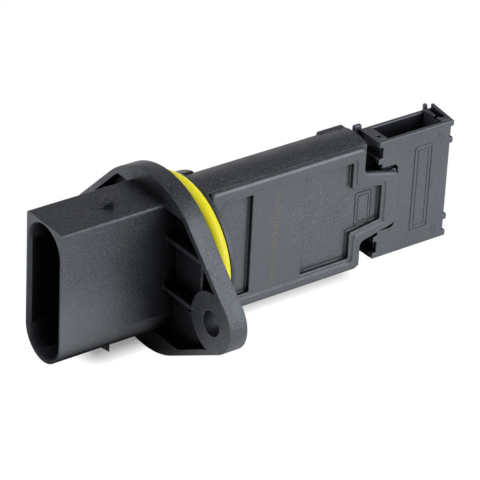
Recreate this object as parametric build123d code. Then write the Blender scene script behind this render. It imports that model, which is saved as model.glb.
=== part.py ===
from build123d import *
import math
import os

# Plug-in mass airflow sensor. Millimetres.
# Origin: centre of the flange's mounting face, on the spigot's axis.
# +X runs along the finger from the plug to the tip, -Y is the cover side, +Z is the leading edge.

# ---------------------------------------------------------------- driving dimensions
PLUG_LENGTH = 27.3          # plug shroud, flange front to rim
PLUG_HALF_W = 6.875         # shroud half thickness
PLUG_Y = 0.275              # shroud and blades are centred this far to the far side
PLUG_HEIGHT = 35.0          # shroud height, flat top to round bottom
PLUG_RAISE = 0.2            # shroud and pins are centred this far above the axis
PLUG_WALL = 1.0             # shroud wall
SOCKET_DEPTH = 22.5         # open depth of the socket
RIM_LEAD = 0.5              # lead-in at the socket's mouth
RIM_LEAD_DEPTH = 0.9
LATCH_GAP = 10.9            # flange front to the steep face of the latch ramps
LATCH_LENGTH = 4.3
LATCH_H = 1.95
LATCH_NEAR = -1.95          # steep face, across the shroud
LATCH_FAR = 0.65
LATCH_TIP_W = 1.0
LATCH_FOOT = 2.2            # steep face to the bend in the ramp
LATCH_FOOT_H = 0.25

FLANGE_T = 4.6
FLANGE_R = 22.0
EAR_Y = 24.7                # screw hole from the axis, each side
EAR_Z = -3.5                # both ears lie below the axis
SCREW_R = 3.05
EAR_WALL = 4.15             # from a screw hole to the ear's edge
BOSS_PAST = 0.2             # screw boss beyond the ear's edge
RIM_WALL = 1.4
CHORD_DROP = 5.55           # pockets end at a chord this far inside the round
POCKET_FLOOR = 1.3          # material left behind the pockets
RIB_T = 1.0
RIB_UPPER_Z = 9.0
RIB_DROP = 0.35             # low ribs below the flange's front
FAR_RIB_DROP = 1.6
POST_OFFSET = 4.6           # cross rib, inward of the screw hole
POST_T = 0.8
POST_PAST = 3.0             # cross rib above the upper rib

GROOVE_W = 6.1
GROOVE_DEPTH = 1.8
DISC_OVER = 1.3             # spigot's disc beyond the finger's flat edges
DISC_T = 1.0
HEEL_LENGTH = 3.0           # heel behind the disc, on the far side of the finger
HEEL_INSET = 0.5
SEAL_SECTION = 3.5
SEAL_SIDES = 24             # sides of the seal's section, each a cone
SEAL_CLEAR = 0.5            # between the seal and the spigot's disc

FINGER_END = 51.6
FINGER_HALF_H = 16.0
FINGER_FAR = 4.8            # back face
FAR_ROUND = 1.6
CROWN = 1.15                # rise of the leading and trailing edges
SEAT_Y = -5.2               # plane the covers sit on
CHAMBER_WALL = 2.4
BACK_RECESS = 1.5
BACK_START = 6.4            # back recess, from the spigot's disc
BACK_LAND = 3.0             # back face left above and below the recess
END_BAR_W = 5.8
END_BAR_GAP = 2.0
END_BAR_PROUD = 0.7
BODY_PAST = 0.7             # body end beyond the cover's end

COVER_RIM = 1.3             # rim of the electronics cover above its seat
COVER_GAP = 0.4             # spigot's disc to the cover
COVER_ROUND = 0.9           # rounded outer edge
BAND_W = 2.4                # flat band round the cover
BAND_STEP = 0.35
LEDGE_W = 1.0
FIELD_DEPTH = 1.15          # sunk fields below the inner step
FIELD_MARGIN = 0.8          # from the plugged-in part's edge
FIELD_ROUND = 1.4           # its corners by the spigot
LEFT_FIELD_W = 8.7
RIGHT_FIELD_W = 17.4        # from the cover's end
COVER_SKIN = 1.1
TONGUE_ROOT = 9.3
TONGUE_TIP = 6.85
TONGUE_SHORT = 0.1          # tongue's end before the seat block's end
TONGUE_BAND = 1.4           # extra width of the band at the tongue's end

NECK_LENGTH = 4.4           # finger's end to the channel
NECK_INSET = 0.3
NECK_TAPER = 1.2
NECK_THIN = 0.1
CHANNEL_SHY = 0.6           # channel's edges inside the finger's
CHANNEL_RAISE = 0.3         # channel cover above the seat plane
CHANNEL_BACK = 1.2          # channel's far face inside the finger's
CHANNEL_SKIN = 1.1          # thickness of both channel covers
TAB = 1.1                   # how far the snap tabs reach past the main edge
TAB_H = 1.5
TAB_STEP = 4.4              # inner tab row from the edge
DUCT_INSET = 3.0
SEAT_BLOCK_LENGTH = 5.8
SEAT_BLOCK_MARGIN = 0.4     # seat block beyond the tongue's tip, above and below
NOTCH_MARGIN = 1.1          # channel cover's notch beyond the seat block
NOTCH_CUT = 0.7
SEAT_BLOCK_CUT = 0.5        # cut corners
CARRIER_REACH = 7.4         # sensor carrier beyond the seat block
DIVIDER_GAP = 1.8           # sensor carrier to the middle of the divider
DIVIDER_T = 1.4
DIVIDER_SHORT = 8.5         # bend over the divider's nose
OUTLET_W = 4.2              # divider's middle to the duct's end
TIP_LENGTH = 2.9
TIP_SLOT = 1.1
TIP_RISE = 0.95             # far end of the tip wall stands above the near end
TIP_WALL = 0.8
STUB_LENGTH = 2.0
STUB_MARGIN = 2.1           # stub beyond the carrier, above and below
STUB_DEPTH = 3.2            # stub's near face from the carrier
STUB_THIN = 0.5
EAR_REACH = 1.3             # back cover's corner ears past the end ribs
EAR_RISE = 1.0
EAR_W = 2.2                 # leading ears
TIP_EAR_W = 0.9             # trailing ears
EAR_TIP_GAP = 0.4           # trailing ears, from the duct's end
EAR_DEPTH = 2.4
BACK_SHY = 0.65

BLADE_W = 2.8
BLADE_T = 0.8
BLADE_SHORT = 6.3           # blade tips inside the socket's mouth
PIN_MARGIN = 1.4            # outer pins inside the board's edges
PIN_W = 1.6
PINS = 5
PIN_REACH = 3.4             # pin ends inside the chamber

PLATE_T = 0.8
PLATE_FROM_PINS = 1.2
PLATE_FROM_END = 1.4
PLATE_FROM_EDGE = 1.2
CARRIER_HALF_H = 3.1
BOARD_T = 0.8
BOARD_INSET = 1.0
BOARD_SHORT = 4.0
CHIP_OFFSET = 3.6           # evaluation chip from the board's middle
CHIP_SIZE = 6.4
CHIP_T = 1.1
CAPACITOR_X = 8.0           # capacitors from the board's start
CAPACITOR_MARGIN = 3.8      # and from its edges
RIBBON_T = 0.2
RIBBON_W = 0.9
RIBBON_RISE = 0.8
RIBBON_LAP = 1.7            # ribbon's hold on the pin and on the board
GLUE = 0.3                  # width of the adhesive joint round the cover
PLATE_GAP = 0.05            # clearance of the channel cover at its seat

# ---------------------------------------------------------------- derived
MOUTH_X = -FLANGE_T - PLUG_LENGTH
PLUG_TOP = PLUG_HEIGHT / 2 + PLUG_RAISE
PLUG_LOW = PLUG_TOP - PLUG_HEIGHT + PLUG_HALF_W      # centre of the round bottom
SOCKET_R = PLUG_HALF_W - PLUG_WALL
SOCKET_TOP = PLUG_TOP - PLUG_WALL - SOCKET_R         # centre of the socket's upper round
SOCKET_END = MOUTH_X + SOCKET_DEPTH
LATCH_X = -FLANGE_T - LATCH_GAP
EAR_R = SCREW_R + EAR_WALL
BOSS_R = EAR_R + BOSS_PAST
CHORD_Z = FLANGE_R - CHORD_DROP
DISC_X = GROOVE_W
DISC_R = FINGER_HALF_H + DISC_OVER
HUB_R = DISC_R - GROOVE_DEPTH                        # floor of the seal groove
SPIGOT_END = DISC_X + DISC_T
SEAL_R = HUB_R + SEAL_SECTION / 2
SEAL_X = GROOVE_W - SEAL_SECTION / 2 - SEAL_CLEAR
COVER_START = SPIGOT_END + COVER_GAP
FIELD_START = COVER_START + BAND_W + LEDGE_W
CHAMBER_START = FIELD_START - FIELD_MARGIN - GLUE
CHAMBER_END = FINGER_END - CHAMBER_WALL
CHAMBER_HALF_H = FINGER_HALF_H - CHAMBER_WALL
END_BAR_X = FINGER_END - END_BAR_W
LEFT_FIELD_END = FIELD_START + LEFT_FIELD_W
RIGHT_FIELD_START = FINGER_END - RIGHT_FIELD_W
COVER_FACE = SEAT_Y - COVER_RIM
STEP_Y = COVER_FACE + BAND_STEP
FIELD_Y = STEP_Y + FIELD_DEPTH
PLUG_IN_Y = FIELD_Y + COVER_SKIN                     # underside of the cover
CHANNEL_START = FINGER_END + NECK_LENGTH
SEAT_BLOCK_END = CHANNEL_START + SEAT_BLOCK_LENGTH
SEAT_BLOCK_Z = TONGUE_TIP + SEAT_BLOCK_MARGIN
NOTCH_Z = SEAT_BLOCK_Z + NOTCH_MARGIN
TONGUE_END = SEAT_BLOCK_END - TONGUE_SHORT
CARRIER_END = SEAT_BLOCK_END + CARRIER_REACH
DIVIDER_X = CARRIER_END + DIVIDER_GAP
DUCT_START = CHANNEL_START + DUCT_INSET
DUCT_END = DIVIDER_X + OUTLET_W
CHANNEL_END = DUCT_END + TIP_LENGTH
CHANNEL_HALF_H = FINGER_HALF_H - CHANNEL_SHY
TAB_ROWS = ((CHANNEL_HALF_H - TAB_H, CHANNEL_HALF_H),
            (CHANNEL_HALF_H - TAB_STEP - TAB_H, CHANNEL_HALF_H - TAB_STEP))
BACK_HALF_H = CHANNEL_HALF_H - BACK_SHY
EAR_TOP = CHANNEL_HALF_H + EAR_RISE
CHANNEL_NEAR = SEAT_Y - CHANNEL_RAISE
CHANNEL_FAR = FINGER_FAR - CHANNEL_BACK
CHANNEL_IN_NEAR = CHANNEL_NEAR + CHANNEL_SKIN
CHANNEL_IN_FAR = CHANNEL_FAR - CHANNEL_SKIN
NECK_HALF_H = TONGUE_ROOT - NECK_INSET
NECK_FAR = CHANNEL_IN_FAR - NECK_THIN
BOARD_Y = PLUG_Y - BLADE_T / 2                       # board's face is level with the pins'
CARRIER_Y = BOARD_Y + BOARD_T
FLOOR_Y = CARRIER_Y + PLATE_T                        # chamber floor
STUB_NEAR = CARRIER_Y - STUB_DEPTH
STUB_FAR = CHANNEL_IN_FAR - STUB_THIN
STUB_HALF_H = CARRIER_HALF_H + STUB_MARGIN
BLADE_TIP = MOUTH_X + BLADE_SHORT
PIN_END = CHAMBER_START + PIN_REACH
PLATE_START = PIN_END + PLATE_FROM_PINS
PLATE_END = CHAMBER_END - PLATE_FROM_END
PLATE_HALF_H = CHAMBER_HALF_H - PLATE_FROM_EDGE
BOARD_START = PLATE_START + BOARD_INSET
BOARD_END = PLATE_END - BOARD_SHORT
BOARD_HALF_H = PLATE_HALF_H - BOARD_INSET
PIN_PITCH = 2 * (BOARD_HALF_H - PIN_MARGIN) / (PINS - 1)


# ---------------------------------------------------------------- helpers
def block(x0, x1, y0, y1, z0, z1):
    size = Box(x1 - x0, y1 - y0, z1 - z0)
    return Pos((x0 + x1) / 2, (y0 + y1) / 2, (z0 + z1) / 2) * size


def along_x(sketch, x0, x1):
    """Solid of a (y, z) sketch between two stations of X."""
    return extrude(Plane.YZ.offset(x0) * sketch, amount=x1 - x0)


def slab(sketch, y0, y1):
    """Solid of an (x, z) sketch between two levels of Y."""
    return extrude(Plane.XZ.offset(-y1) * sketch, amount=y1 - y0)


def disc(r, y=0.0, z=0.0):
    return Pos(y, z) * Circle(r)


def rect(a0, a1, b0, b1):
    return Pos((a0 + a1) / 2, (b0 + b1) / 2) * Rectangle(a1 - a0, b1 - b0)


def shape(points):
    return make_face(Polyline(*points, close=True))


def belt(c1, r1, c2, r2):
    """Quadrilateral between the outer tangents of two circles."""
    dx, dy = c2[0] - c1[0], c2[1] - c1[1]
    base = math.atan2(dy, dx)
    lean = math.acos((r1 - r2) / math.hypot(dx, dy))
    ends = []
    for sign in (1, -1):
        n = (math.cos(base + sign * lean), math.sin(base + sign * lean))
        ends.append(((c1[0] + r1 * n[0], c1[1] + r1 * n[1]), (c2[0] + r2 * n[0], c2[1] + r2 * n[1])))
    return shape([ends[0][0], ends[0][1], ends[1][1], ends[1][0]])


def mirrored(points):
    """Outline closed by mirroring its upper half in z = 0."""
    return list(points) + [(x, -z) for x, z in reversed(points)]


# ---------------------------------------------------------------- plug, flange and spigot
def plug_outline(grow=0.0):
    half = PLUG_HALF_W + grow
    return rect(PLUG_Y - half, PLUG_Y + half, PLUG_LOW, PLUG_TOP + grow) + disc(half, PLUG_Y, PLUG_LOW)


def socket_outline(grow=0.0):
    r = SOCKET_R + grow
    return rect(PLUG_Y - r, PLUG_Y + r, PLUG_LOW, SOCKET_TOP) + disc(r, PLUG_Y, PLUG_LOW) + disc(r, PLUG_Y, SOCKET_TOP)


def latch_ramp(z, up):
    """Ramp that starts narrow and shallow, rises toward the flange and ends in a steep face."""
    def station(x, y0, y1, h):
        return [(x, y, z + up * t) for y in (y0, y1) for t in (-0.4, h)]
    middle = (LATCH_NEAR + LATCH_FAR) / 4
    foot = station(LATCH_X - LATCH_FOOT, middle + LATCH_NEAR / 3, LATCH_FAR, LATCH_FOOT_H)
    tip = station(LATCH_X - LATCH_LENGTH, -LATCH_TIP_W / 2, LATCH_TIP_W / 2, 0.02)
    steep = station(LATCH_X, LATCH_NEAR, LATCH_FAR, LATCH_H)
    return hull(tip + foot) + hull(foot + steep)


def hull(points):
    """Convex solid over a small set of corner points."""
    faces = []
    done = set()
    n = len(points)
    for i in range(n):
        for j in range(i + 1, n):
            for k in range(j + 1, n):
                a, b, c = (Vector(points[m]) for m in (i, j, k))
                normal = (b - a).cross(c - a)
                if normal.length < 1e-9:
                    continue
                normal = normal.normalized()
                side = [normal.dot(Vector(p) - a) for p in points]
                if max(side) > 1e-6 and min(side) < -1e-6:
                    continue
                on = tuple(m for m in range(n) if abs(side[m]) <= 1e-6)
                if on in done:
                    continue
                done.add(on)
                faces.append(flat_face([Vector(points[m]) for m in on], normal))
    return Solid(Shell(faces))


def flat_face(corners, normal):
    """Planar convex face through corners given in any order."""
    mid = sum(corners, Vector(0, 0, 0)) / len(corners)
    ux = (corners[0] - mid).normalized()
    uy = normal.cross(ux)
    ring = sorted(corners, key=lambda p: math.atan2((p - mid).dot(uy), (p - mid).dot(ux)))
    keep = []
    for i, p in enumerate(ring):
        before, after = ring[i - 1], ring[(i + 1) % len(ring)]
        if (p - before).cross(after - p).length > 1e-6:
            keep.append(p)
    return Face(Wire.make_polygon([tuple(p) for p in keep], close=True))


def flange_outline(inset=0.0):
    big, small = FLANGE_R - inset, EAR_R - inset
    sketch = disc(big)
    for side in (-1, 1):
        sketch += disc(small, side * EAR_Y, EAR_Z)
        sketch += belt((0, 0), big, (side * EAR_Y, EAR_Z), small)
    return sketch


def flange_pockets():
    """Cored areas of the plug side, with their ribs left standing."""
    wide = EAR_Y + EAR_R
    cut = flange_outline(RIM_WALL) & rect(-wide, wide, -CHORD_Z, CHORD_Z)
    cut -= plug_outline()
    for side in (-1, 1):
        cut -= disc(BOSS_R, side * EAR_Y, EAR_Z)
    solid = along_x(cut, -FLANGE_T, -POCKET_FLOOR)
    for side, drop in ((-1, RIB_DROP), (1, FAR_RIB_DROP)):
        inner, outer = sorted((PLUG_Y + side * PLUG_HALF_W, side * EAR_Y))
        solid -= block(-FLANGE_T, 0, inner, outer, EAR_Z - RIB_T / 2, EAR_Z + RIB_T / 2)
        solid -= block(-FLANGE_T + drop, 0, inner, outer, RIB_UPPER_Z - RIB_T / 2, RIB_UPPER_Z + RIB_T / 2)
        post = side * (EAR_Y - POST_OFFSET)
        solid -= block(-FLANGE_T + drop, 0, post - POST_T / 2, post + POST_T / 2, EAR_Z, RIB_UPPER_Z + POST_PAST)
    return solid


def pin_z(i):
    return (SOCKET_TOP + PLUG_LOW) / 2 + (i - (PINS - 1) / 2) * PIN_PITCH


def finger_outline():
    """Section of the finger: flat near side, crowned edges, rounded far corners."""
    h, far, mid = FINGER_HALF_H, FINGER_FAR, (SEAT_Y + FINGER_FAR) / 2
    top = ThreePointArc((SEAT_Y, h), (mid, h + CROWN), (far, h))
    side = Line((far, h), (far, -h))
    low = ThreePointArc((far, -h), (mid, -h - CROWN), (SEAT_Y, -h))
    near = Line((SEAT_Y, -h), (SEAT_Y, h))
    face = make_face(Curve() + [top, side, low, near])
    return fillet(face.vertices().filter_by(lambda v: v.X > 0), FAR_ROUND)


def finger_shell():
    end = FINGER_END + BODY_PAST
    body = along_x(finger_outline(), DISC_X, end)
    high = FINGER_HALF_H + END_BAR_PROUD
    bar = rect(FINGER_FAR - 2, FINGER_FAR + END_BAR_PROUD, -high, high)
    bar = fillet(bar.vertices().filter_by(lambda v: v.X > FINGER_FAR), 1.2)
    body += along_x(bar, END_BAR_X, end)
    neck = mirrored([(FINGER_END - 1, NECK_HALF_H), (CHANNEL_START, NECK_HALF_H - NECK_TAPER)])
    body += slab(shape(neck), SEAT_Y, NECK_FAR)
    body += block(CHANNEL_START - 1, CHANNEL_START + STUB_LENGTH, STUB_NEAR, STUB_FAR, -STUB_HALF_H, STUB_HALF_H)
    body -= slab(lid_well(), SEAT_Y, PLUG_IN_Y)
    chamber = rect(CHAMBER_START, CHAMBER_END, -CHAMBER_HALF_H, CHAMBER_HALF_H)
    body -= slab(fillet(chamber.vertices(), 0.9), PLUG_IN_Y, FLOOR_Y)
    body += block(CHAMBER_START - 1, PIN_END + 0.4, PLUG_Y + BLADE_T / 2, FLOOR_Y, -CHAMBER_HALF_H, CHAMBER_HALF_H)
    back_h = FINGER_HALF_H - BACK_LAND
    back = rect(SPIGOT_END + BACK_START, END_BAR_X - END_BAR_GAP, -back_h, back_h)
    body -= slab(fillet(back.vertices(), 1.5), FINGER_FAR - BACK_RECESS, FINGER_FAR)
    return body


def lid_well(inset=0.0):
    """Area in which the cover dips into the housing and the channel's seat."""
    main = rect(CHAMBER_START + inset, CHAMBER_END - inset, -CHAMBER_HALF_H + inset, CHAMBER_HALF_H - inset)
    root, tip = TONGUE_ROOT - BAND_W - 0.4, TONGUE_TIP - BAND_W + 0.4
    end = TONGUE_END - BAND_W - TONGUE_BAND
    arm = shape(mirrored([(CHAMBER_END - 1, root - inset), (end - inset, tip - inset)]))
    return fillet(main.vertices(), 0.9) + arm


def carrier_slot():
    return block(CHAMBER_END - 1, CHANNEL_START + STUB_LENGTH, CARRIER_Y, FLOOR_Y, -CARRIER_HALF_H, CARRIER_HALF_H)


def bond_space():
    """Gel filled trough over the carrier where its leads reach the board."""
    return block(CHAMBER_END - 1, CHANNEL_START, PLUG_IN_Y, CARRIER_Y, -CARRIER_HALF_H, CARRIER_HALF_H)


def make_housing():
    body = along_x(plug_outline(), MOUTH_X, 0)
    long_edges = body.edges().filter_by(Axis.X).filter_by(lambda e: e.center().Z > PLUG_TOP - 0.1)
    body = fillet(long_edges, 0.7)
    body -= along_x(socket_outline(), MOUTH_X, SOCKET_END)
    rim = loft([Plane.YZ.offset(MOUTH_X) * socket_outline(RIM_LEAD).face(),
                Plane.YZ.offset(MOUTH_X + RIM_LEAD_DEPTH) * socket_outline().face()])
    body -= rim
    body += latch_ramp(PLUG_TOP, 1)
    body += latch_ramp(PLUG_LOW - PLUG_HALF_W, -1)
    body += along_x(flange_outline(), -FLANGE_T, 0) - flange_pockets()
    body += along_x(disc(HUB_R), 0, DISC_X)
    body += along_x(disc(DISC_R), DISC_X, SPIGOT_END)
    heel = disc(DISC_R - HEEL_INSET) & rect(FINGER_FAR - 1, DISC_R, -DISC_R, DISC_R)
    body += along_x(heel, DISC_X, SPIGOT_END + HEEL_LENGTH)
    body += finger_shell()
    body -= carrier_slot()
    body -= bond_space()
    for side in (-1, 1):
        body -= along_x(disc(SCREW_R, side * EAR_Y, EAR_Z), -FLANGE_T, 0)
    for i in range(PINS):
        body -= make_pin(i)
    return body


def make_pin(i):
    z = pin_z(i)
    y0, y1 = PLUG_Y - BLADE_T / 2, PLUG_Y + BLADE_T / 2
    blade = block(BLADE_TIP, SOCKET_END + 1, y0, y1, z - BLADE_W / 2, z + BLADE_W / 2)
    blade = chamfer(blade.faces().sort_by(Axis.X)[0].edges(), 0.25)
    stem = block(SOCKET_END + 1, PIN_END, y0, y1, z - PIN_W / 2, z + PIN_W / 2)
    return blade + stem


def make_seal():
    """Ring of round section, resting on the groove's floor."""
    half = math.pi / SEAL_SIDES
    r = SEAL_SECTION / 2 / math.cos(half)
    points = [(SEAL_X + r * math.cos((2 * i + 1) * half), SEAL_R + r * math.sin((2 * i + 1) * half))
              for i in range(SEAL_SIDES)]
    return revolve(Plane.XZ * shape(points), Axis.X)


# ---------------------------------------------------------------- electronics cover
def cover_points(inset=0.0):
    """Upper half of the cover's outline, from the spigot to the tongue's end."""
    slope = (TONGUE_ROOT - TONGUE_TIP) / (TONGUE_END - FINGER_END)
    drop = inset * math.hypot(1, slope)
    root_x = FINGER_END - inset
    root_z = TONGUE_ROOT - drop
    end_x = TONGUE_END - inset - (TONGUE_BAND if inset > 0 else 0)
    end_z = root_z - slope * (end_x - root_x - inset)
    return [(COVER_START + inset, FINGER_HALF_H - inset), (root_x, FINGER_HALF_H - inset),
            (root_x, root_z), (end_x, end_z)]


def cover_outline(inset=0.0, corner=0.8, root=1.4):
    sketch = shape(mirrored(cover_points(inset)))
    inner = FINGER_END - inset
    roots = sketch.vertices().filter_by(
        lambda v: abs(v.X - inner) < 0.01 and abs(v.Y) < TONGUE_ROOT + 0.1)
    others = sketch.vertices().filter_by(
        lambda v: not (abs(v.X - inner) < 0.01 and abs(v.Y) < TONGUE_ROOT + 0.1))
    if root > 0:
        sketch = fillet(roots, root)
        others = sketch.vertices().filter_by(
            lambda v: v.X > TONGUE_END - inset - 0.01 or abs(v.Y) > FINGER_HALF_H - inset - 0.01)
    return fillet(others, corner)


def field_outline(corner=0.5):
    return cover_outline(BAND_W + LEDGE_W, corner, 0)


def make_cover():
    body = slab(cover_outline(0, 1.6), COVER_FACE, SEAT_Y)
    body = fillet(body.faces().sort_by(Axis.Y)[0].edges(), COVER_ROUND)
    body -= slab(cover_outline(BAND_W, 1.3, 0.9), COVER_FACE, STEP_Y)
    body += slab(lid_well(GLUE), SEAT_Y, PLUG_IN_Y)
    left = field_outline(FIELD_ROUND) & rect(COVER_START, LEFT_FIELD_END, -FINGER_HALF_H, FINGER_HALF_H)
    right = field_outline() & rect(RIGHT_FIELD_START, TONGUE_END, -FINGER_HALF_H, FINGER_HALF_H)
    body -= slab(left, COVER_FACE, FIELD_Y)
    body -= slab(right, COVER_FACE, FIELD_Y)
    return body


def make_adhesive():
    return slab(lid_well() - lid_well(GLUE), SEAT_Y, PLUG_IN_Y)


# ---------------------------------------------------------------- bypass channel
def plate_outline(notch):
    """Channel cover with snap tabs on both upright edges."""
    x0, x1, h = CHANNEL_START + TAB, CHANNEL_END - TAB, CHANNEL_HALF_H
    sketch = rect(x0, x1, -h, h)
    for low, high in TAB_ROWS:
        for z0, z1 in ((low, high), (-high, -low)):
            sketch += rect(CHANNEL_START, CHANNEL_END, z0, z1)
    if notch:
        end = SEAT_BLOCK_END + PLATE_GAP
        cut = mirrored([(CHANNEL_START - TAB, NOTCH_Z), (end - NOTCH_CUT, NOTCH_Z), (end, NOTCH_Z - NOTCH_CUT)])
        sketch -= shape(cut)
    return sketch


def make_channel_cover():
    return slab(plate_outline(True), CHANNEL_NEAR, CHANNEL_IN_NEAR)


def make_channel_back():
    x0, x1 = CHANNEL_START + TAB, CHANNEL_END
    ear_x, tip_ear_x = CHANNEL_START - EAR_REACH, DUCT_END + EAR_TIP_GAP
    sketch = rect(x0, x1, -BACK_HALF_H, BACK_HALF_H)
    for side in (-1, 1):
        foot, edge, top = side * (BACK_HALF_H - EAR_DEPTH), side * BACK_HALF_H, side * EAR_TOP
        sketch += rect(ear_x, x0 + EAR_DEPTH, *sorted((foot, edge)))
        for x, width in ((ear_x, EAR_W), (tip_ear_x, TIP_EAR_W)):
            sketch += rect(x, x + width, *sorted((foot, top)))
    return slab(sketch, CHANNEL_IN_FAR, CHANNEL_FAR)


def tip_wall():
    """Wall at the tip, its edges rising toward the far side."""
    h = CHANNEL_HALF_H
    face = shape([(CHANNEL_IN_NEAR, h), (CHANNEL_IN_FAR, h + TIP_RISE),
                  (CHANNEL_IN_FAR, -h - TIP_RISE), (CHANNEL_IN_NEAR, -h)])
    return along_x(face, CHANNEL_END - TIP_WALL, CHANNEL_END)


def make_channel_body():
    h = CHANNEL_HALF_H
    near, far = CHANNEL_IN_NEAR, CHANNEL_IN_FAR
    tip = CHANNEL_END - TIP_WALL
    body = slab(plate_outline(False) & rect(0, tip, -h, h), near, far)
    seat = mirrored([(CHANNEL_START, SEAT_BLOCK_Z), (SEAT_BLOCK_END - SEAT_BLOCK_CUT, SEAT_BLOCK_Z),
                     (SEAT_BLOCK_END, SEAT_BLOCK_Z - SEAT_BLOCK_CUT)])
    wide = rect(CHANNEL_START, SEAT_BLOCK_END + NOTCH_MARGIN, -NOTCH_Z - PLATE_GAP, NOTCH_Z + PLATE_GAP)
    duct = rect(DUCT_START, DUCT_END, -h + 1.6, h)
    duct = fillet(duct.vertices().filter_by(lambda v: v.Y < 0), 3.0)
    nose = rect(DIVIDER_X - DIVIDER_T / 2, DIVIDER_X + DIVIDER_T / 2, -h + 1.0, h - DIVIDER_SHORT)
    nose = fillet(nose.vertices().filter_by(lambda v: v.Y > 0), DIVIDER_T * 0.46)
    body -= slab(duct - wide - nose, near, far)
    # outlet in the trailing edge, and the slot behind the tip wall
    body -= block(DIVIDER_X + 0.9, DUCT_END - 0.6, near + 1.0, far - 1.0, -h, -h + 1.6)
    body -= block(tip - TIP_SLOT, tip, near + 1.6, far, -h, h)
    body += tip_wall()
    body += slab(shape(seat), SEAT_Y, near)
    body -= slab(lid_well(), SEAT_Y, PLUG_IN_Y)
    body -= block(CHANNEL_START, CHANNEL_START + STUB_LENGTH, STUB_NEAR, STUB_FAR, -STUB_HALF_H, STUB_HALF_H)
    body -= block(CHANNEL_START, SEAT_BLOCK_END + NOTCH_MARGIN, CARRIER_Y, FLOOR_Y, -CARRIER_HALF_H, CARRIER_HALF_H)
    # locating sockets in the leading edge
    for x, y in ((DUCT_START - 1.2, near + 1.8), (DUCT_END + 0.45, near + 2.7)):
        body -= block(x - 0.45, x + 0.45, y - 0.5, y + 0.5, h - 0.9, h)
    return body


# ---------------------------------------------------------------- electronics
def make_base_plate():
    main = fillet(rect(PLATE_START, PLATE_END, -PLATE_HALF_H, PLATE_HALF_H).vertices(), 0.8)
    tip = CARRIER_END
    arm = mirrored([(PLATE_END - 2, CARRIER_HALF_H), (tip - 1.5, CARRIER_HALF_H), (tip, CARRIER_HALF_H - 1.2)])
    return slab(main + shape(arm), CARRIER_Y, FLOOR_Y)


def make_board():
    sketch = rect(BOARD_START, BOARD_END, -BOARD_HALF_H, BOARD_HALF_H)
    return slab(sketch, BOARD_Y, CARRIER_Y)


def on_board(x, z, lx, lz, t):
    return block(x - lx / 2, x + lx / 2, BOARD_Y - t, BOARD_Y, z - lz / 2, z + lz / 2)


def make_capacitor(x, z):
    """Chip capacitor: ceramic body with a plated cap at each end."""
    return on_board(x, z, 3.2, 1.6, 1.0)


def make_sensor_chip():
    x = CARRIER_END - 3.0
    return block(x - 1.9, x + 1.9, CARRIER_Y - 0.4, CARRIER_Y, -1.7, 1.7)


def make_chip_cap():
    """Moulded cap over the sensing chip's leads."""
    x1 = CARRIER_END - 4.9
    body = block(SEAT_BLOCK_END + NOTCH_MARGIN + 0.2, x1, CARRIER_Y - 1.1, CARRIER_Y, -2.2, 2.2)
    return chamfer(body.faces().sort_by(Axis.Y)[0].edges(), 0.4)


def make_bond(i):
    """Bond ribbon from a pin's end over to the board."""
    x0, x1 = PIN_END - RIBBON_LAP, BOARD_START + RIBBON_LAP
    y, t, rise = BOARD_Y, RIBBON_T, RIBBON_RISE
    low = [(x0, y), (x0 + 0.8, y), (x0 + 1.5, y - rise), (x1 - 1.5, y - rise), (x1 - 0.8, y), (x1, y)]
    top = [(x1, y - t), (x1 - 0.9, y - t), (x1 - 1.55, y - rise - t), (x0 + 1.55, y - rise - t),
           (x0 + 0.9, y - t), (x0, y - t)]
    return Pos(0, 0, pin_z(i) - RIBBON_W / 2) * extrude(shape(low + top), amount=RIBBON_W)


def make_parts():
    parts = {
        "plug_housing": make_housing(),
        "seal_ring": make_seal(),
        "electronics_cover": make_cover(),
        "cover_adhesive": make_adhesive(),
        "channel_body": make_channel_body(),
        "channel_cover": make_channel_cover(),
        "channel_back_cover": make_channel_back(),
        "base_plate": make_base_plate(),
        "hybrid_board": make_board(),
        "evaluation_chip": on_board((BOARD_START + BOARD_END) / 2 + CHIP_OFFSET, 0, CHIP_SIZE, CHIP_SIZE, CHIP_T),
        "sensor_chip": make_sensor_chip(),
        "chip_cap": make_chip_cap(),
    }
    for i, side in enumerate((-1, 1)):
        z = side * (BOARD_HALF_H - CAPACITOR_MARGIN)
        parts["capacitor_%d" % (i + 1)] = make_capacitor(BOARD_START + CAPACITOR_X, z)
    for i in range(PINS):
        parts["pin_%d" % (i + 1)] = make_pin(i)
        parts["bond_ribbon_%d" % (i + 1)] = make_bond(i)
    return parts


if __name__ == "__main__":
    os.makedirs("parts", exist_ok=True)
    for name, solid in make_parts().items():
        export_step(solid, "parts/%s.step" % name)
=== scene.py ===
import math

import bmesh
import bpy
from mathutils import Matrix, Vector

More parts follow.
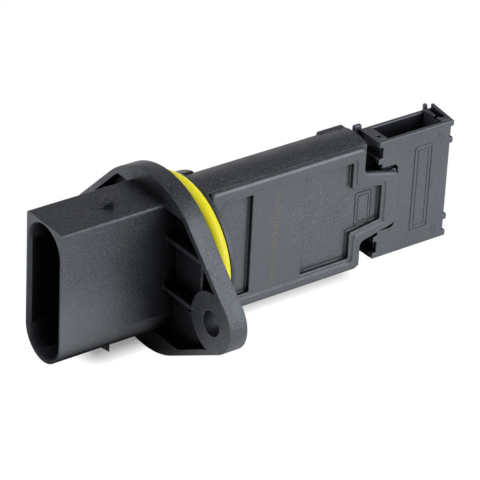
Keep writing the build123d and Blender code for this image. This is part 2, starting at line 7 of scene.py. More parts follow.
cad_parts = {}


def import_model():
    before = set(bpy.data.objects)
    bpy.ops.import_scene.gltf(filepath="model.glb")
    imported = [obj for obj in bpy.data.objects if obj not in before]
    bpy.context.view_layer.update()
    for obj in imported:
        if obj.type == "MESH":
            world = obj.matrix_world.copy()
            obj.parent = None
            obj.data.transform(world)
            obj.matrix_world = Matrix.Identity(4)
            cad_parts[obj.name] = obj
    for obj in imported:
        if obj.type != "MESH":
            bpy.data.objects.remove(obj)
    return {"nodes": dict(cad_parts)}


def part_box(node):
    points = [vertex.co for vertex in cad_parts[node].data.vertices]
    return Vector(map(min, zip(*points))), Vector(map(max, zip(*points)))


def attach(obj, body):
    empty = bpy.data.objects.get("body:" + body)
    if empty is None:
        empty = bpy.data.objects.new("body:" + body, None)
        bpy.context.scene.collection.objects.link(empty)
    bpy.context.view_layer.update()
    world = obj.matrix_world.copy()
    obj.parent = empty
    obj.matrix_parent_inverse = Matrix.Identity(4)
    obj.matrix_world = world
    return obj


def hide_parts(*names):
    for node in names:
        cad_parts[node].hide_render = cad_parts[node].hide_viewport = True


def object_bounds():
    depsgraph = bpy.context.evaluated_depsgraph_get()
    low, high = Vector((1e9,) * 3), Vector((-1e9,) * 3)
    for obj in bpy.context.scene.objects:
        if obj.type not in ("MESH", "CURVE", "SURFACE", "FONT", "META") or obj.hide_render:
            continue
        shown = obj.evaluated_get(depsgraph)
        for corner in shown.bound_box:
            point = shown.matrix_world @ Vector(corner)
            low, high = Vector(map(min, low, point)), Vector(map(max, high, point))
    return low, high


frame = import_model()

CAD_BOX = [[float(c) for c in corner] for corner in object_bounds()]
NODES = frame["nodes"]
MM = 0.001

# X runs from the plug to the tip, the covers face -Y and Z points up. Named sizes and places are in mm,
# apart from the lamps'.

# ---------------------------------------------------------------- sizes of the solids
PLUG_HALF_W = 6.875
PLUG_WALL = 1.0
PLUG_HEIGHT = 35.0
PLUG_RAISE = 0.2                # shroud's middle above the axis
SHROUD_TOP = PLUG_HEIGHT / 2 + PLUG_RAISE
SOCKET_HALF_W = PLUG_HALF_W - PLUG_WALL
SOCKET_DEPTH = 22.5
PINS = 5
POCKET_FLOOR_X = -1.3
SPIGOT_END = 7.1
SPIGOT_R = 17.3
HEEL_LENGTH = 3.0
FINGER_FAR = 4.8                # finger's back face
PANEL_STEP = 0.35               # cover's middle panel below its band
FIELD_DEPTH = 1.15              # sunk field below the panel

# ---------------------------------------------------------------- material tools
MIX_FACTOR, MIX_A, MIX_B = 0, 6, 7      # input sockets of a colour mix
MIX_RESULT = 2                          # and its output
SAMPLES = 6                             # rays of the bevel and openness nodes
EDGE_TURN = 0.995, 0.86                 # cosine of a normal's turn where an edge starts and is full
EDGE_AIR = 0.8                          # corners this narrow don't count as edges


class Graph:
    """Nodes of one material or world, built socket by socket."""

    def __init__(self, owner, output="ShaderNodeOutputMaterial"):
        owner.use_nodes = True
        self.owner = owner
        self.tree = owner.node_tree
        self.tree.nodes.clear()
        self.out = self.add(output)
        self.place = self.add("ShaderNodeTexCoord").outputs

    def add(self, kind, inputs=None, **settings):
        """New node. Each input is a socket to link or a value to set."""
        node = self.tree.nodes.new(kind)
        for key, value in settings.items():
            setattr(node, key, value)
        for key, value in (inputs or {}).items():
            if isinstance(value, bpy.types.NodeSocket):
                self.tree.links.new(value, node.inputs[key])
            else:
                node.inputs[key].default_value = value
        return node

    def math(self, operation, a, b=0.0):
        return self.add("ShaderNodeMath", {0: a, 1: b}, operation=operation).outputs[0]

    def product(self, first, *factors):
        for factor in factors:
            first = self.math("MULTIPLY", first, factor)
        return first

    def rest(self, share):
        """What a share leaves of 1."""
        return self.math("SUBTRACT", 1.0, share)

    def off(self, value, low, high):
        """How far a value in metres lies from the middle of a range in mm."""
        return self.math("ABSOLUTE", self.math("SUBTRACT", value, (low + high) / 2 * MM))

    def span(self, value, low, high, to_low=0.0, to_high=1.0):
        """Value carried from one range to another, and held at its ends."""
        return self.add("ShaderNodeMapRange", {
            "Value": value, "From Min": low, "From Max": high,
            "To Min": to_low, "To Max": to_high}).outputs["Result"]

    def mix(self, factor, a, b):
        return self.add("ShaderNodeMix", {MIX_FACTOR: factor, MIX_A: a, MIX_B: b},
                        data_type="RGBA").outputs[MIX_RESULT]

    def noise(self, scale, detail=2.0, rough=0.55, place=None):
        """Noise with about as many spots per metre as its scale."""
        return self.add("ShaderNodeTexNoise", {
            "Vector": place or self.place["Object"],
            "Scale": scale, "Detail": detail, "Roughness": rough}).outputs["Fac"]

    def axis(self, name, place="Object"):
        return self.add("ShaderNodeSeparateXYZ", {0: self.place[place]}).outputs[name]

    def fade(self, name, ends):
        """0 at the first of two places along an axis, 1 at the second, in mm."""
        return self.span(self.axis(name), ends[0] * MM, ends[1] * MM)

    def rounded(self, radius):
        """Normal of a surface whose edges are rounded, in mm."""
        return self.add("ShaderNodeBevel", {"Radius": radius * MM}, samples=SAMPLES).outputs["Normal"]

    def open_air(self, reach, low=0.45, high=0.9):
        """1 in the open, 0 where walls stand within reach, in mm."""
        node = self.add("ShaderNodeAmbientOcclusion", {"Distance": reach * MM}, samples=SAMPLES)
        return self.span(node.outputs["AO"], low, high)

    def edges(self, radius):
        """1 on outer edges, 0 on flats and in corners."""
        flat = self.add("ShaderNodeNewGeometry").outputs["Normal"]
        turn = self.add("ShaderNodeVectorMath", {0: self.rounded(radius), 1: flat}, operation="DOT_PRODUCT")
        return self.product(self.span(turn.outputs["Value"], *EDGE_TURN), self.open_air(EDGE_AIR))

    def relief(self, height, strength, depth, radius=None):
        """Normal of a rough surface, its depth and the round of its edges in mm."""
        inputs = {"Strength": strength, "Distance": depth * MM, "Height": height}
        if radius:
            inputs["Normal"] = self.rounded(radius)
        return self.add("ShaderNodeBump", inputs).outputs["Normal"]

    def seen(self):
        """1 for rays that show the background: straight, mirrored or let through."""
        rays = self.add("ShaderNodeLightPath").outputs
        return self.math("MAXIMUM", self.math("MAXIMUM", rays["Is Camera Ray"], rays["Is Glossy Ray"]),
                         rays["Is Transmission Ray"])

    def finish(self, shader):
        self.tree.links.new(shader.outputs[0], self.out.inputs["Surface"])
        return self.owner

    def surface(self, inputs):
        return self.finish(self.add("ShaderNodeBsdfPrincipled", inputs))


def material(name):
    return Graph(bpy.data.materials.new(name))


def rgb(r, g, b):
    """Linear colour of a screen colour 0-255."""
    def lin(c):
        c /= 255.0
        return c / 12.92 if c <= 0.04045 else ((c + 0.055) / 1.055) ** 2.4
    return (lin(r), lin(g), lin(b), 1.0)


def dimmed(colour, share):
    return tuple(c * share for c in colour[:3]) + (1.0,)


# ---------------------------------------------------------------- kinds of material
# Each noise: spots per metre, detail and, where it isn't the usual one, roughness.
CLOUDS = 55.0, 3.0
SMEARS = 190.0, 4.0, 0.65
RUBS = 420.0, 3.0
DUST = 2600.0, 1.0, 0.4
DUST_PATCHES = 85.0, 3.0
# Noise that breaks up the patch of painted light:
LIGHT_PATCHES = 160.0, 3.0

# Ranges of a noise: the value where a mark starts and where it is full.
MIDDLE = 0.3, 0.7
FIBRE_RANGE = 0.50, 0.76
DUST_RANGE = 0.62, 0.74
RUB_RANGE = 0.38, 0.62

FIBRE_SCALE = 0.9               # fibres and coarse grain, against the scale of the fine grain
COARSE_SCALE = 0.4
COARSE_HEIGHT = 1.3
GRAIN_STRENGTH = 0.8
RUB_AND_HIGHLIGHT_TONE = 0.8                  # share of the wear tone along an edge, where it stands for real wear and for a painted highlight
RUB_SMOOTH = -0.10              # and what it adds to the roughness
CREASE_REACH = 1.6
CREASE_SHADE = 0.4               # shares of the dark tone in the painted shade of creases and of hollows
HOLLOW_SHADE = 0.2
PLASTIC_IOR = 1.62
PLASTIC_SHEEN = (0.83, 0.90, 1.0, 1.0)  # the plastic's slightly cool gloss
PLASTIC_GLOSS = 0.1, 0.9                # its level in hollows and in the open


# The wear tone serves real wear, fibres and dust, and also painted highlights on edges and a patch of
# painted light.
def moulded(name, dark, light, worn_and_lit, rough, grain, grain_scale=3600.0, sparkle=0.35, radius=0.3,
            reach=12.0, hollow_low=0.40, hollow_high=0.88, sheltered=None, dusty=None, painted_light=None):
    """Glass-filled moulding: fine grain with bright specks, cloudy tone, worn edges with a painted
    highlight, painted shade in creases and hollows.

    grain is the depth of the grain, radius the round of the edges and reach the width of what counts
    as a hollow for the painted shade, all in mm. The last three arguments make masks of parts of the
    surface: of painted shade, of dust and of painted light.
    """
    g = material(name)
    fibres = g.span(g.noise(grain_scale * FIBRE_SCALE, detail=1.0, rough=0.4), *FIBRE_RANGE)
    tone = g.mix(g.span(g.noise(*CLOUDS), *MIDDLE), dark, light)
    tone = g.mix(g.product(fibres, sparkle), tone, worn_and_lit)
    if dusty:
        specks = g.span(g.noise(*DUST), *DUST_RANGE)
        tone = g.mix(g.product(dusty(g), specks), tone, worn_and_lit)
    # Painted light: a lighter patch in the wear tone.
    if painted_light:
        tone = g.mix(painted_light(g), tone, worn_and_lit)
    # Edges: real wear, and a painted highlight along them.
    edge_wear_and_highlight = g.product(g.edges(radius), g.span(g.noise(*RUBS), *RUB_RANGE))
    tone = g.mix(g.product(edge_wear_and_highlight, RUB_AND_HIGHLIGHT_TONE), tone, worn_and_lit)
    # Painted shade: the tone darkens in narrow creases.
    tone = g.mix(g.open_air(CREASE_REACH), dimmed(dark, CREASE_SHADE), tone)
    # Painted shade: the tone darkens in hollows and, where sheltered marks it, in the socket; the gloss
    # drops there too.
    open_space = g.open_air(reach, hollow_low, hollow_high)
    if sheltered:
        open_space = g.product(open_space, g.rest(sheltered(g)))
    tone = g.mix(open_space, dimmed(dark, HOLLOW_SHADE), tone)
    smears = g.span(g.noise(*SMEARS), *MIDDLE, rough - 0.05, rough + 0.07)
    coarse = g.product(g.noise(grain_scale * COARSE_SCALE), COARSE_HEIGHT)
    height = g.math("ADD", g.noise(grain_scale, detail=2.0, rough=0.7), coarse)
    return g.surface({
        "Base Color": tone, "IOR": PLASTIC_IOR, "Specular Tint": PLASTIC_SHEEN,
        "Roughness": g.math("ADD", smears, g.product(edge_wear_and_highlight, RUB_SMOOTH)),
        "Normal": g.relief(height, GRAIN_STRENGTH, grain, radius),
        "Specular IOR Level": g.span(open_space, 0.0, 1.0, *PLASTIC_GLOSS)})


def rubber(name, dark, light, rough):
    """Smooth elastomer with a faint bloom and fine moulding haze."""
    g = material(name)
    cloud = g.noise(140.0, detail=3.0)
    haze = g.noise(1500.0, detail=3.0)
    return g.surface({
        "Base Color": g.mix(g.span(cloud, *MIDDLE), dark, light),
        "Roughness": g.span(cloud, *MIDDLE, rough - 0.06, rough + 0.06),
        "Normal": g.relief(haze, strength=0.35, depth=0.01), "Specular IOR Level": 0.4,
        "Subsurface Weight": 0.05, "Subsurface Radius": (0.4 * MM, 0.3 * MM, 0.1 * MM)})


def metal(name, colour, tarnish, rough):
    """Rolled or plated metal with drawn lines along X."""
    g = material(name)
    lines = g.add("ShaderNodeMapping", {"Vector": g.place["Object"], "Scale": (1.0, 12.0, 12.0)})
    drawn = g.noise(900.0, detail=3.0, rough=0.6, place=lines.outputs["Vector"])
    stains = g.span(g.noise(260.0, detail=3.0), 0.45, 0.8)
    return g.surface({
        "Base Color": g.mix(stains, colour, tarnish), "Metallic": 1.0,
        "Roughness": g.span(drawn, *MIDDLE, rough - 0.08, rough + 0.10),
        "Normal": g.relief(drawn, strength=0.4, depth=0.006, radius=0.12)})


def mineral(name, dark, light, rough):
    """Sintered or cast surface, speckled."""
    g = material(name)
    speck = g.noise(900.0, detail=4.0, rough=0.7)
    return g.surface({
        "Base Color": g.mix(g.span(speck, 0.35, 0.65), dark, light),
        "Roughness": g.span(speck, *MIDDLE, rough - 0.08, rough + 0.08),
        "Normal": g.relief(speck, strength=0.5, depth=0.01, radius=0.15)})


# ---------------------------------------------------------------- masks
SOCKET_FADE = 1.0, 3.5          # depths in the socket where its painted shade starts and is full
PAST_PINS = 4.6                 # how far the mask reaches beyond the outer blades,
PAST_WALLS = 0.06               # into the socket's side walls
PAST_FLOOR = 0.1                # and into its floor


def in_socket(g):
    """Mask of painted shade: 1 on the socket's inner walls, fading out towards its mouth."""
    first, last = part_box("pin_1"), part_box("pin_%d" % PINS)
    middle = (first[0].y + first[1].y) / 2 / MM
    half_w = SOCKET_HALF_W + PAST_WALLS
    low = min(first[0].z, last[0].z) / MM - PAST_PINS
    high = max(first[1].z, last[1].z) / MM + PAST_PINS
    mouth = CAD_BOX[0][0]
    across = g.math("LESS_THAN", g.off(g.axis("Y"), middle - half_w, middle + half_w), half_w * MM)
    upright = g.math("LESS_THAN", g.off(g.axis("Z"), low, high), (high - low) / 2 * MM)
    deep = g.span(g.axis("X"), mouth + SOCKET_FADE[0] * MM, mouth + SOCKET_FADE[1] * MM)
    before_floor = g.math("LESS_THAN", g.axis("X"), mouth + (SOCKET_DEPTH + PAST_FLOOR) * MM)
    return g.product(across, upright, deep, before_floor)


# Where the patch of painted light starts and where it is full, along each axis.
PATCH_X = -15.0, -31.0
PATCH_Z = 6.0, -13.0
PATCH_Y = -5.4, -6.4            # only the face on the covers' side
PATCH_RANGE = 0.25, 0.6
PATCH_STRENGTH = 0.62, 0.86


def painted_light_side(g):
    """Painted light: a lighter patch low on the near side of the shroud, towards the mouth."""
    along = g.fade("X", PATCH_X)
    down = g.fade("Z", PATCH_Z)
    near = g.fade("Y", PATCH_Y)
    return g.product(along, down, near, g.span(g.noise(*LIGHT_PATCHES), *PATCH_RANGE, *PATCH_STRENGTH))


# Along X: no dust at the first place, all of it at the second.
DUST_START = 30.8, 31.2
DUST_END = 52.0, 49.0
DUST_PATCH_RANGE = 0.35, 0.6
DUST_THIN = 0.10                # dust on the rest of the cover
DUST_THICK = 0.8                # and what the coarser half holds on top


def dusty_panel(g):
    """Dust in patches, most of it on the coarser right half of the cover's panels."""
    coarse = g.product(g.fade("X", DUST_START), g.fade("X", DUST_END))
    amount = g.math("ADD", g.product(coarse, DUST_THICK), DUST_THIN)
    return g.product(amount, g.span(g.noise(*DUST_PATCHES), *DUST_PATCH_RANGE))


# ---------------------------------------------------------------- the materials
# The housing gets painted shade in its socket and painted light low on its shroud's near side.
HOUSING = moulded("moulded_housing", rgb(22, 23, 26), rgb(31, 32, 36), rgb(100, 102, 108), 0.44,
                  grain=0.055, grain_scale=3000.0, sparkle=0.55, reach=19.0, hollow_high=0.95,
                  sheltered=in_socket, painted_light=painted_light_side)
COVER = moulded("moulded_cover", rgb(45, 46, 50), rgb(61, 62, 67), rgb(134, 137, 144), 0.34,
                grain=0.020, radius=0.45, hollow_high=0.70, dusty=dusty_panel)
CHANNEL = moulded("moulded_channel", rgb(44, 45, 49), rgb(64, 65, 70), rgb(118, 120, 127), 0.34,
                  grain=0.018, radius=0.22, hollow_low=0.34, hollow_high=0.50)
INK = moulded("faded_ink", rgb(88, 80, 48), rgb(106, 96, 58), rgb(136, 126, 90), 0.34,
              grain=0.020, hollow_high=0.70)
GLUE = rubber("glue_joint", rgb(26, 27, 29), rgb(36, 37, 40), 0.5)
SEAL = rubber("seal_yellow", rgb(250, 236, 36), rgb(255, 246, 54), 0.34)
PLATE = metal("plate_aluminium", rgb(196, 198, 200), rgb(150, 152, 156), 0.34)
TERMINAL = metal("terminal_tin", rgb(206, 204, 198), rgb(160, 156, 146), 0.28)
RIBBON = metal("ribbon_aluminium", rgb(214, 215, 216), rgb(176, 177, 180), 0.30)
CERAMIC = mineral("ceramic_white", rgb(214, 214, 206), rgb(236, 236, 230), 0.55)
CHIP = mineral("chip_black", rgb(24, 24, 26), rgb(38, 38, 41), 0.5)
SILICON = mineral("silicon_grey", rgb(72, 78, 92), rgb(96, 102, 118), 0.2)
CAPACITOR = mineral("capacitor_tan", rgb(150, 118, 80), rgb(176, 142, 100), 0.45)

# ---------------------------------------------------------------- the solids' finish
FINISH = {
    "plug_housing": HOUSING, "seal_ring": SEAL, "electronics_cover": COVER, "cover_adhesive": GLUE,
    "channel_body": CHANNEL, "channel_cover": CHANNEL, "channel_back_cover": CHANNEL,
    "base_plate": PLATE, "hybrid_board": CERAMIC, "evaluation_chip": CHIP, "sensor_chip": SILICON,
    "chip_cap": CHIP, "capacitor_1": CAPACITOR, "capacitor_2": CAPACITOR,
}
for i in range(1, PINS + 1):
    FINISH["pin_%d" % i] = TERMINAL
    FINISH["bond_ribbon_%d" % i] = RIBBON

EDGE = {"plug_housing": 0.28, "electronics_cover": 0.42, "channel_body": 0.16, "channel_cover": 0.24,
        "channel_back_cover": 0.30}     # width of the softened edges
ROUND_SEGMENTS = 3
SHARP = math.radians(38)                # edges that turn by more are softened
WELD_WITHIN = 0.001                     # corners this close are one
FLAT = math.radians(0.6)                # faces that turn by less are joined


def soften(obj, width):
    """Small round on every sharp edge."""
    bevel = obj.modifiers.new("edge", "BEVEL")
    bevel.width = width * MM
    bevel.segments = ROUND_SEGMENTS
    bevel.limit_method = "ANGLE"
    bevel.angle_limit = SHARP
    bevel.use_clamp_overlap = True


def join_facets(obj):
    """The solids' triangles welded and joined to flat faces, so that only real edges are softened."""
    weld = obj.modifiers.new("weld", "WELD")
    weld.merge_threshold = WELD_WITHIN * MM
    flat = obj.modifiers.new("flat", "DECIMATE")
    flat.decimate_type = "DISSOLVE"
    flat.angle_limit = FLAT


for name, finish in FINISH.items():
    NODES[name].data.materials.clear()
    NODES[name].data.materials.append(finish)
for name, width in EDGE.items():
    join_facets(NODES[name])
    soften(NODES[name], width)


# ---------------------------------------------------------------- tools for the added pieces
SINK = 0.03                     # how far an added piece reaches into what carries it


def piece(name, bm, finish, smooth=True):
    mesh = bpy.data.meshes.new(name)
    bmesh.ops.recalc_face_normals(bm, faces=bm.faces)
    bm.to_mesh(mesh)
    bm.free()
    for face in mesh.polygons:
        face.use_smooth = smooth
    mesh.materials.append(finish)
    obj = bpy.data.objects.new(name, mesh)
    bpy.context.scene.collection.objects.link(obj)
    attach(obj, "root")
    return obj


def turns(steps):
    """Angles of a full turn in equal steps."""
    return [2 * math.pi * i / steps for i in range(steps)]


def skin(bm, rings, closed=False):
    """Surface through rings of corners: a loop if closed, otherwise a bar with two end faces."""
    following = rings[1:] + rings[:1] if closed else rings[1:]
    for one, two in zip(rings, following):
        for j in range(len(one)):
            k = (j + 1) % len(one)
            bm.faces.new((one[j], one[k], two[k], two[j]))
    if not closed:
        bm.faces.new(rings[0])
        bm.faces.new(list(reversed(rings[-1])))


def round_rect(u, v, half_u, half_v, radius, steps=5):
    """Closed outline round (u, v), anticlockwise."""
    points = []
    for su, sv, turn in ((1, 1, 0), (-1, 1, 90), (-1, -1, 180), (1, -1, 270)):
        for i in range(steps + 1):
            a = math.radians(turn + 90 * i / steps)
            points.append((u + su * (half_u - radius) + radius * math.cos(a),
                           v + sv * (half_v - radius) + radius * math.sin(a)))
    return points


def circle(u, v, radius, steps=24):
    return [(u + radius * math.cos(a), v + radius * math.sin(a)) for a in turns(steps)]


def ridge(bm, outline, width, height, place, closed=True):
    """Low ridge with sloped sides along an outline; place maps (u, v, h) in mm to the frame."""
    profile = ((-width / 2, -SINK), (-width / 4, height), (width / 4, height), (width / 2, -SINK))
    n = len(outline)
    rings = []
    for i, (u, v) in enumerate(outline):
        before = outline[i - 1] if closed or i > 0 else outline[i]
        after = outline[(i + 1) % n] if closed or i < n - 1 else outline[i]
        du, dv = after[0] - before[0], after[1] - before[1]
        length = math.hypot(du, dv)
        rings.append([bm.verts.new(place(u + dv / length * w, v - du / length * w, h)) for w, h in profile])
    skin(bm, rings, closed)


def pad(bm, outline, height, slope, root, place):
    """Low plateau with sloped sides inside an outline."""
    cu = sum(u for u, v in outline) / len(outline)
    cv = sum(v for u, v in outline) / len(outline)
    low = [bm.verts.new(place(u, v, -root)) for u, v in outline]
    top = []
    for u, v in outline:
        keep = max(0.0, 1.0 - slope / math.hypot(u - cu, v - cv))
        top.append(bm.verts.new(place(cu + (u - cu) * keep, cv + (v - cv) * keep, height)))
    skin(bm, [low, top])


def on_cover_side(face_y):
    """Places u along X, v along Z and h out of a face towards the covers' side."""
    return lambda u, v, h: Vector((u * MM, face_y - h * MM, v * MM))


def on_shroud_top(u, v, h):
    """Places u along X, v along Y and h above the shroud's top face."""
    return Vector((u * MM, v * MM, (SHROUD_TOP + h) * MM))


# ---------------------------------------------------------------- seal
SEAL_AROUND = 160
SEAL_ACROSS = 32
SEAL_LINE = 0.012               # moulding line, as a share of the section's radius
SEAL_SHY = 0.02                 # section inside the solid's


def seal():
    """Round elastomer ring with its moulding line, in place of the sided solid."""
    lo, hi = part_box("seal_ring")
    minor = (hi.x - lo.x) / 2
    middle = (hi.x + lo.x) / 2
    major = hi.z - minor
    bm = bmesh.new()
    rings = []
    for a in turns(SEAL_AROUND):
        ring = []
        for j, b in enumerate(turns(SEAL_ACROSS)):
            line = SEAL_LINE if j in (0, SEAL_ACROSS // 2) else 0.0
            r = minor * (1.0 + line) - SEAL_SHY * MM
            out = major + r * math.cos(b)
            ring.append(bm.verts.new((middle + r * math.sin(b), out * math.cos(a), out * math.sin(a))))
        rings.append(ring)
    skin(bm, rings, closed=True)
    obj = piece("seal_round", bm, SEAL)
    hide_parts("seal_ring")


# ---------------------------------------------------------------- insert frames
# Each frame: half length, half height, corner radius, ridge width and ridge height.
CHANNEL_FRAME_X = 69.4
CHANNEL_FRAMES = ((2.5, 11.0, 0.5, 0.44, 0.17), (1.5, 10.0, 0.3, 0.26, 0.11))
FIELD_FRAME_X = 52.5
FIELD_FRAME_Z = -0.6
FIELD_FRAMES = ((2.3, 4.1, 0.5, 0.40, 0.15), (1.5, 3.3, 0.3, 0.24, 0.10))


def frame_ridges(x, z, frames, face_y):
    """Nested rectangles of low ridges round one point."""
    bm = bmesh.new()
    for half_x, half_z, radius, width, height in frames:
        ridge(bm, round_rect(x, z, half_x, half_z, radius), width, height, on_cover_side(face_y))
    return bm


def insert_frames():
    """Plain insert outlines where such parts carry their moulded marks."""
    lo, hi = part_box("channel_cover")
    bm = frame_ridges(CHANNEL_FRAME_X, (lo.z + hi.z) / 2 / MM, CHANNEL_FRAMES, lo.y)
    piece("channel_mark_frame", bm, CHANNEL)
    field_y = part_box("electronics_cover")[0].y + (PANEL_STEP + FIELD_DEPTH) * MM
    bm = frame_ridges(FIELD_FRAME_X, FIELD_FRAME_Z, FIELD_FRAMES, field_y)
    piece("field_mark_frame", bm, COVER)


# ---------------------------------------------------------------- faded strokes
STROKES = 26
STROKE_START = 26.0, -12.0      # X and Z of the lowest stroke
STROKE_RUN = 0.9, 23.2          # from the lowest stroke to the highest
STROKE_HALF = 0.95
SHORT_HALF = 0.6                # every third stroke is shorter
STROKE_HALF_H = 0.16
STROKE_CORNER = 0.08
STROKE_THICK = 0.01             # also its slope and how deep it sits


def code_strokes():
    """Faint printed row of plain strokes across the cover's middle panel."""
    place = on_cover_side(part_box("electronics_cover")[0].y + PANEL_STEP * MM)
    bm = bmesh.new()
    for i in range(STROKES):
        along = i / (STROKES - 1)
        u = STROKE_START[0] + STROKE_RUN[0] * along
        v = STROKE_START[1] + STROKE_RUN[1] * along
        half = STROKE_HALF if i % 3 else SHORT_HALF
        outline = round_rect(u, v, half, STROKE_HALF_H, STROKE_CORNER, 2)
        pad(bm, outline, STROKE_THICK, STROKE_THICK, STROKE_THICK, place)
    piece("code_strokes", bm, INK, smooth=False)


# ---------------------------------------------------------------- heel crest
CREST_GAP = 0.05                # from the spigot's disc, and inside its edge
CREST_INNER = 16.2              # radius of its inner side
CREST_PAST_HEEL = 0.5
CREST_END_SLOPE = 0.5, 0.4      # along X and inwards
CREST_SHY = 0.2                 # crest's ends from the finger's back face
CREST_STEPS = 48
CREST_ROUND = 0.12


def heel_crest():
    """Raised rib along the rim of the heel behind the spigot's disc."""
    start = SPIGOT_END + CREST_GAP
    end = SPIGOT_END + HEEL_LENGTH + CREST_PAST_HEEL
    outer = SPIGOT_R - CREST_GAP
    profile = ((start, CREST_INNER), (start, outer), (end - CREST_END_SLOPE[0], outer),
               (end, outer - CREST_END_SLOPE[1]), (end, CREST_INNER))
    low = math.asin((FINGER_FAR - CREST_SHY) / outer)
    bm = bmesh.new()
    rings = []
    for i in range(CREST_STEPS + 1):
        a = low + (math.pi - 2 * low) * i / CREST_STEPS
        rings.append([bm.verts.new(Vector((x, r * math.sin(a), r * math.cos(a))) * MM) for x, r in profile])
    skin(bm, rings)
    soften(piece("heel_crest", bm, HOUSING, smooth=False), CREST_ROUND)


# ---------------------------------------------------------------- pocket steps
# Each step: from and to along Y, from and to along Z, and its rise over the pocket's floor.
POCKET_STEPS = ((-20.0, -17.4, 5.3, 8.6, 1.28), (-17.0, -14.0, -6.6, -5.9, 1.98))
STEP_ROOT = 0.12                # how far a step reaches into the floor
STEP_ROUND = 0.15


def pocket_steps():
    """Small steps that stiffen the near pocket's floor."""
    bm = bmesh.new()
    for y0, y1, z0, z1, rise in POCKET_STEPS:
        corners = ((y0, z0), (y1, z0), (y1, z1), (y0, z1))
        levels = POCKET_FLOOR_X + STEP_ROOT, POCKET_FLOOR_X - rise
        skin(bm, [[bm.verts.new(Vector((x, y, z)) * MM) for y, z in corners] for x in levels])
    soften(piece("pocket_steps", bm, HOUSING, smooth=False), STEP_ROUND)


# ---------------------------------------------------------------- small marks
# Each ring: X, Z, radius, ridge width and ridge height.
LOCATING_RING = 60.6, -8.75, 0.42, 0.18, 0.07
EJECTOR_RINGS = (74.2, 12.2, 0.8, 0.14, 0.05), (74.2, -12.6, 0.8, 0.14, 0.05)
PARTING_Y = -0.15
PARTING_STEPS = 12
# Each line: start, length, ridge width and ridge height; the latch ramp lies between them.
PARTING_LINES = ((-15.2, 10.4, 0.20, 0.07), (-31.4, 11.4, 0.16, 0.04))


def channel_rings():
    """Locating hole's rim and two ejector dots on the channel cover."""
    place = on_cover_side(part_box("channel_cover")[0].y)
    bm = bmesh.new()
    for u, v, radius, width, height in (LOCATING_RING,) + EJECTOR_RINGS:
        ridge(bm, circle(u, v, radius), width, height, place)
    piece("channel_ejector_dots", bm, CHANNEL)


def parting_line():
    """Trace of the mould's joint along the shroud's top."""
    bm = bmesh.new()
    for start, length, width, height in PARTING_LINES:
        line = [(start + length * i / PARTING_STEPS, PARTING_Y) for i in range(PARTING_STEPS + 1)]
        ridge(bm, line, width, height, on_shroud_top, closed=False)
    piece("shroud_parting_line", bm, HOUSING)


seal()
insert_frames()
code_strokes()
heel_crest()
pocket_steps()
channel_rings()
parting_line()

# ---------------------------------------------------------------- floor
FLOOR_DROP = 0.05               # gap under the object
FLOOR_X = 20.0                  # middle of the floor
FLOOR_SIDES = 48
FLOOR_RINGS = 150.0, 600.0, 6000.0
PAPER = (0.80, 0.80, 0.80, 1), (0.84, 0.84, 0.84, 1)
PAINTED_SHADOW_PAPER = (0.16, 0.16, 0.16, 1)   # painted shadow: dark paper beneath the object, as its own faces mirror it

# Areas of the floor, from and to along X and along Y.
SHADOWS = ((3, 51), (4.0, 12)), ((-15.5, 6), (3.4, 12))     # where the object's shadow shows
SHADOW_FADE = 5.5
SHADOW_LEAST = 0.12             # white that is left in the middle of a shadow
MIRRORED_DARK = (-60, 82), (-3, 42)     # where the object's faces mirror the floor with a painted shadow
MIRRORED_FADE = 10.0


def beyond(g, area):
    """Distance outside an area of the floor, in metres."""
    gaps = []
    for name, (low, high) in zip("XY", area):
        gap = g.math("SUBTRACT", g.off(g.axis(name), low, high), (high - low) / 2 * MM)
        gaps.append(g.math("POWER", g.math("MAXIMUM", gap, 0.0), 2.0))
    return g.math("SQRT", g.math("ADD", *gaps))


def floor_paper():
    """Matt paper, white to the camera apart from the shadow, and clear from below.

    The object's faces mirror it as white too, but with a painted shadow where the object stands.
    """
    g = material("floor_white")
    rays = g.add("ShaderNodeLightPath").outputs
    straight = rays["Is Camera Ray"]
    away = g.math("MINIMUM", beyond(g, SHADOWS[0]), beyond(g, SHADOWS[1]))
    in_view = g.span(away, 0.0, SHADOW_FADE * MM, SHADOW_LEAST, 1.0)
    mirrored = g.span(beyond(g, MIRRORED_DARK), 0.0, MIRRORED_FADE * MM)
    # Painted shadow: glossy rays see dark paper where the object stands.
    painted_shadow = g.product(rays["Is Glossy Ray"], g.rest(mirrored))
    paper = g.mix(g.noise(30.0), *PAPER)
    matt = g.add("ShaderNodeBsdfDiffuse", {"Color": g.mix(painted_shadow, paper, PAINTED_SHADOW_PAPER)})
    glow = g.add("ShaderNodeEmission", {"Color": (1, 1, 1, 1), "Strength": 1.0})
    white = g.math("ADD", g.product(straight, in_view), g.product(g.rest(straight), mirrored))
    above = g.add("ShaderNodeMixShader", {0: g.product(g.seen(), white), 1: matt.outputs[0],
                                          2: glow.outputs[0]})
    clear = g.add("ShaderNodeBsdfTransparent")
    below = g.add("ShaderNodeNewGeometry").outputs["Backfacing"]
    return g.finish(g.add("ShaderNodeMixShader", {0: below, 1: above.outputs[0], 2: clear.outputs[0]}))


def stage():
    low = CAD_BOX[0][2] - FLOOR_DROP * MM
    bm = bmesh.new()
    last = [bm.verts.new((FLOOR_X * MM, 0, low))]
    for radius in FLOOR_RINGS:
        ring = [bm.verts.new((u * MM, v * MM, low)) for u, v in circle(FLOOR_X, 0.0, radius, FLOOR_SIDES)]
        for i in range(FLOOR_SIDES):
            j = (i + 1) % FLOOR_SIDES
            inner = (last[0],) if len(last) == 1 else (last[j], last[i])
            bm.faces.new(inner + (ring[i], ring[j]))
        last = ring
    mesh = bpy.data.meshes.new("floor")
    bm.to_mesh(mesh)
    bm.free()
    mesh.materials.append(floor_paper())
    obj = bpy.data.objects.new("floor", mesh)
    bpy.context.scene.collection.objects.link(obj)


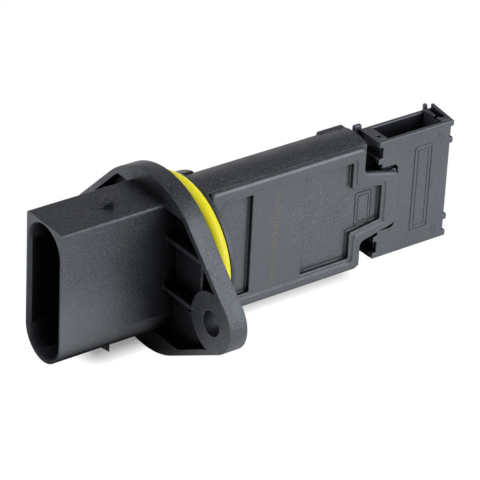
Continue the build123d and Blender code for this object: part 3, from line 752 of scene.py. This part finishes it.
# ---------------------------------------------------------------- light and camera
# Sky: height, from 0 when level to 1 straight up, and brightness there.
SKY = (0.0, 1.0), (0.10, 0.62), (0.36, 0.24), (1.0, 0.16)
SKY_TINT = 1.0, 0.985, 0.98
SKY_AS_LIGHT = 0.7              # its strength for rays that only light the object
LAMP_AIM = Vector((0.022, 0.0, 0.0))


def world():
    """Bright horizon under a dim ceiling for camera, mirrored and transmitted rays; softer as light."""
    g = Graph(bpy.data.worlds.new("studio"), "ShaderNodeOutputWorld")
    ramp = g.add("ShaderNodeValToRGB", {0: g.axis("Z", "Generated")})
    stops = ramp.color_ramp.elements
    stops[0].position = SKY[0][0]
    stops[1].position = SKY[-1][0]
    for height, _ in SKY[1:-1]:
        stops.new(height)
    for stop, (_, level) in zip(stops, SKY):
        stop.color = tuple(level * share for share in SKY_TINT) + (1,)
    strength = g.span(g.seen(), 0.0, 1.0, SKY_AS_LIGHT, 1.0)
    bpy.context.scene.world = g.finish(g.add("ShaderNodeBackground", {
        "Color": ramp.outputs["Color"], "Strength": strength}))


def lamp(name, at, size, power, colour=(1, 1, 1), mirrored=True):
    """Round soft lamp; place and size in metres, power in watts."""
    data = bpy.data.lights.new(name, "AREA")
    data.shape = "DISK"
    data.size = size
    data.energy = power
    data.color = colour
    obj = bpy.data.objects.new(name, data)
    obj.location = at
    obj.visible_glossy = mirrored
    obj.rotation_euler = (LAMP_AIM - Vector(at)).to_track_quat("-Z", "Y").to_euler()
    bpy.context.scene.collection.objects.link(obj)


CAMERA_AT = -353.151, -488.363, 349.568
CAMERA_SIDE = 37.4666           # degrees from the covers' side to the plug's
CAMERA_RISE = 29.7690           # degrees above the floor
CAMERA_ROLL = 2.9207            # degrees
LENS = 233.82
SENSOR = 36.0
CLIP = 20.0, 20000.0


def camera():
    data = bpy.data.cameras.new("camera")
    data.sensor_width = SENSOR
    data.sensor_fit = "HORIZONTAL"
    data.lens = LENS
    data.clip_start = CLIP[0] * MM
    data.clip_end = CLIP[1] * MM
    obj = bpy.data.objects.new("camera", data)
    side = Matrix.Rotation(math.radians(-CAMERA_SIDE), 4, "Z")
    rise = Matrix.Rotation(math.radians(90 - CAMERA_RISE), 4, "X")
    roll = Matrix.Rotation(math.radians(CAMERA_ROLL), 4, "Z")
    obj.matrix_world = Matrix.Translation(Vector(CAMERA_AT) * MM) @ side @ rise @ roll
    bpy.context.scene.collection.objects.link(obj)
    bpy.context.scene.camera = obj


stage()
world()
lamp("key", (0.52, -0.86, 0.50), 1.20, 8.8, colour=(0.96, 0.98, 1.0))
lamp("top", (-0.15, 0.25, 0.62), 0.40, 1.7, mirrored=False)
lamp("edge", (0.42, -0.31, 0.61), 0.22, 0.50)
lamp("left", (-0.8, -0.2, 0.35), 0.50, 1.6, mirrored=False)
camera()
bpy.context.scene.view_settings.view_transform = "Standard"
